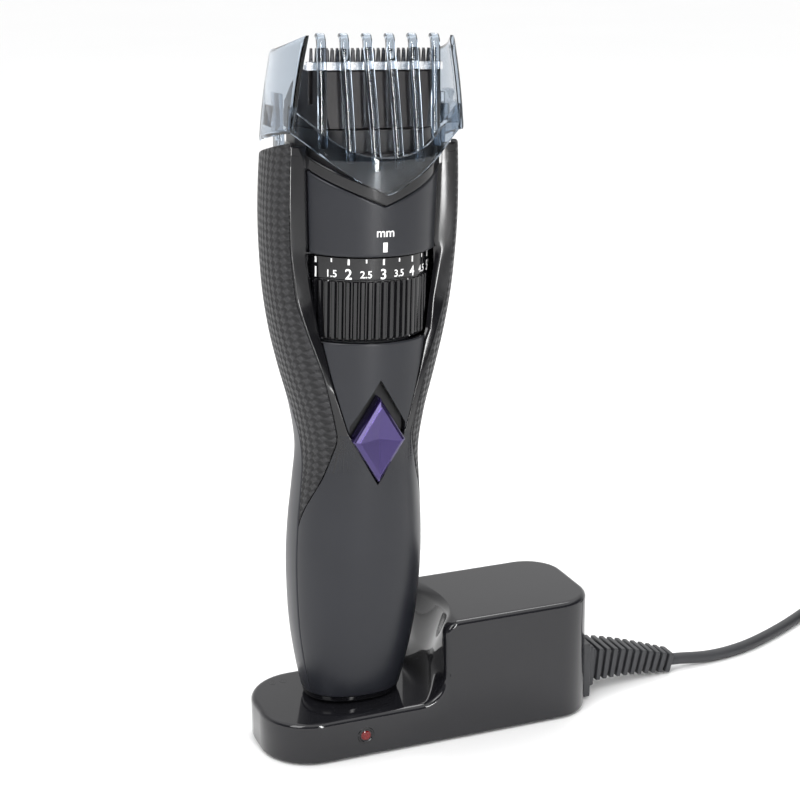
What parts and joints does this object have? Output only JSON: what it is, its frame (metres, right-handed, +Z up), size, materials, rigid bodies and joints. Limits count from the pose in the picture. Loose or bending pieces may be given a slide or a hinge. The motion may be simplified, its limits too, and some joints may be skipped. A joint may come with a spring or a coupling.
{
  "type": "beard trimmer with charging stand",
  "caption": "Cordless beard trimmer with a length dial, sliding guide comb and tipping blade block, standing in a charging stand with a transformer block and mains cord.",
  "frame": {"origin": "on the floor, under the middle of the charging stand", "axes": "+Z up; +X along the stand from the dish to the transformer block; -Y is the trimmer's front"},
  "size_m": [0.2675, 0.0571, 0.1882],
  "materials": {
    "stand_black": "high gloss black",
    "base_black": "fine moulded texture",
    "foot_rubber": "matte",
    "screw_steel": "zinc plated",
    "core_steel": "laminated, varnished",
    "bobbin_nylon": "natural nylon",
    "copper": "enamelled copper wire",
    "circuit_board": "green solder mask",
    "part_black": "moulded",
    "led_red": "clear tinted lens",
    "spring_steel": "satin",
    "gold_pin": "gold plated",
    "cord_black": "matte charcoal",
    "pin_nickel": "nickel plated",
    "body_charcoal": "matte charcoal",
    "rear_charcoal": "satin dark grey",
    "grip_rubber": "fine textured",
    "trim_black": "gloss black",
    "battery_wrap": "shrink sleeve",
    "tab_nickel": "nickel",
    "frame_grey": "moulded",
    "motor_steel": "zinc plated",
    "acetal_white": "natural acetal",
    "seal_black": "matte",
    "button_violet": "metallic violet, faceted",
    "dial_black": "gloss black, white numerals",
    "comb_smoke": "translucent smoked blue",
    "blade_black": "satin",
    "blade_steel": "ground steel"
  },
  "bodies": {
    "stand": {"stand_shell": "stand_black", "base_plate": "base_black", "stand_feet": "foot_rubber", "base_screws": "screw_steel", "transformer_core": "core_steel", "transformer_bobbin": "bobbin_nylon", "transformer_winding": "copper", "charge_board": "circuit_board", "board_parts": "part_black", "charge_led": "led_red", "contact_spring_left": "spring_steel", "contact_spring_right": "spring_steel", "strain_relief": "cord_black", "cord_lead": "cord_black", "cord_coil": "cord_black", "cord_tail": "cord_black", "cord_tie": "seal_black", "plug_body": "cord_black", "plug_pins": "pin_nickel"},
    "pin_left": {"contact_pin_left": "gold_pin"},
    "pin_right": {"contact_pin_right": "gold_pin"},
    "handset": {"front_shell": "body_charcoal", "rear_shell": "rear_charcoal", "grip_left": "grip_rubber", "grip_right": "grip_rubber", "upper_panel": "body_charcoal", "lower_panel": "body_charcoal", "trim_frame": "trim_black", "bottom_cap": "trim_black", "charge_terminals": "pin_nickel", "battery_cell": "battery_wrap", "battery_tabs": "tab_nickel", "main_board": "circuit_board", "slide_switch": "spring_steel", "button_seal": "seal_black", "chassis": "frame_grey", "motor_can": "motor_steel", "motor_screws": "screw_steel", "lever_pin": "screw_steel", "lever_seal": "seal_black", "seal_ring": "seal_black", "detent_spring": "spring_steel", "head_housing": "blade_black", "head_screws": "screw_steel", "blade_hinge_pin": "screw_steel"},
    "button": {"power_button": "button_violet"},
    "dial": {"dial": "dial_black"},
    "carriage": {"comb_carriage": "acetal_white"},
    "comb": {"comb": "comb_smoke"},
    "blade_block": {"blade_frame": "blade_black", "blade_spring": "spring_steel", "fixed_blade": "blade_steel"},
    "cutter": {"moving_blade": "blade_steel"},
    "lever": {"drive_lever": "acetal_white"},
    "rotor": {"motor_rotor": "core_steel", "eccentric": "acetal_white"}
  },
  "joints": [
    {"name": "handset_lift", "type": "slide", "parent": "stand", "child": "handset", "axis": [0.0349, 0, 0.9994], "range_m": [0, 0.06]},
    {"name": "pin_left", "type": "slide", "parent": "stand", "child": "pin_left", "axis": [0.0349, 0, 0.9994], "range_m": [-0.0008, 0], "stiffness_N_per_m": 600, "springref_m": 0.0008, "deforming": ["contact_spring_left"]},
    {"name": "pin_right", "type": "slide", "parent": "stand", "child": "pin_right", "axis": [0.0349, 0, 0.9994], "range_m": [-0.0008, 0], "stiffness_N_per_m": 600, "springref_m": 0.0008, "deforming": ["contact_spring_right"]},
    {"name": "power_slide", "type": "slide", "parent": "handset", "child": "button", "axis": [0.0349, 0, 0.9994], "range_m": [0, 0.003]},
    {"name": "dial_turn", "type": "hinge", "parent": "handset", "child": "dial", "pos_m": [-0.01606, 0, 0.12273], "axis": [0.0349, 0, 0.9994], "range_deg": [-196, 56]},
    {"name": "carriage_slide", "type": "slide", "parent": "handset", "child": "carriage", "axis": [0.0349, 0, 0.9994], "range_m": [-0.00201, 0.00701]},
    {"name": "comb_pull", "type": "slide", "parent": "carriage", "child": "comb", "axis": [0.0349, 0, 0.9994], "range_m": [0, 0.028]},
    {"name": "blade_tip", "type": "hinge", "parent": "handset", "child": "blade_block", "pos_m": [-0.01452, 0.0065, 0.16691], "axis": [-0.9994, 0, 0.0349], "range_deg": [0, 30]},
    {"name": "lever_swing", "type": "hinge", "parent": "handset", "child": "lever", "pos_m": [-0.01543, 0, 0.14072], "axis": [0, 1, 0], "range_deg": [-2.01, 2.01]},
    {"name": "cutter_slide", "type": "slide", "parent": "blade_block", "child": "cutter", "axis": [0.9994, 0, -0.0349], "range_m": [-0.00101, 0.00101]},
    {"name": "rotor_spin", "type": "hinge", "parent": "handset", "child": "rotor", "pos_m": [-0.01711, 0.0008, 0.09275], "axis": [0.0349, 0, 0.9994], "continuous": true}
  ],
  "couplings": [
    {"joint": "carriage_slide", "follows": "dial_turn", "m_per_rad": -0.0020463},
    {"joint": "lever_swing", "follows": "cutter_slide", "rad_per_m": 34.48}
  ]
}
